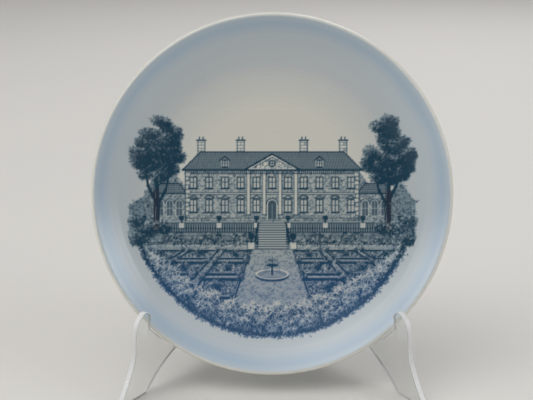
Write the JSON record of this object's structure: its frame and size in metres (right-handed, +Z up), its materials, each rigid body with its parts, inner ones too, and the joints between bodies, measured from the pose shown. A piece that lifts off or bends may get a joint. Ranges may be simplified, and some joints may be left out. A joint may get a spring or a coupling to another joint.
{
  "type": "souvenir plate",
  "caption": "Round coupe porcelain souvenir plate with a blue garden view, leaning on a clear folding two-panel display stand.",
  "frame": {"origin": "on the standing surface, under the middle of the object's bounding box", "axes": "+Z up, the plate's printed face looks towards -Y and slightly up, +X to the viewer's right"},
  "size_m": [0.18, 0.1147, 0.1819],
  "materials": {
    "glazed_porcelain": "gloss",
    "clear_plastic": "clear gloss",
    "pin_metal": "satin"
  },
  "bodies": {
    "hinge_pin": {"hinge_pin": "pin_metal"},
    "right_panel": {"right_panel": "clear_plastic"},
    "left_panel": {"left_panel": "clear_plastic"},
    "plate": {"plate": "glazed_porcelain"}
  },
  "joints": [
    {"name": "plate_lift", "type": "slide", "parent": "hinge_pin", "child": "plate", "axis": [0, 0.1736, 0.9848], "range_m": [0, 0.287]},
    {"name": "right_fold", "type": "hinge", "parent": "hinge_pin", "child": "right_panel", "pos_m": [0, 0.05407, 0.032], "axis": [0, 0, 1], "range_deg": [-33, 0]},
    {"name": "left_fold", "type": "hinge", "parent": "hinge_pin", "child": "left_panel", "pos_m": [0, 0.05407, 0.032], "axis": [0, 0, 1], "range_deg": [0, 33]}
  ],
  "couplings": [
    {"joint": "right_fold", "follows": "plate_lift", "rad_per_m": -2},
    {"joint": "left_fold", "follows": "plate_lift", "rad_per_m": 2}
  ]
}
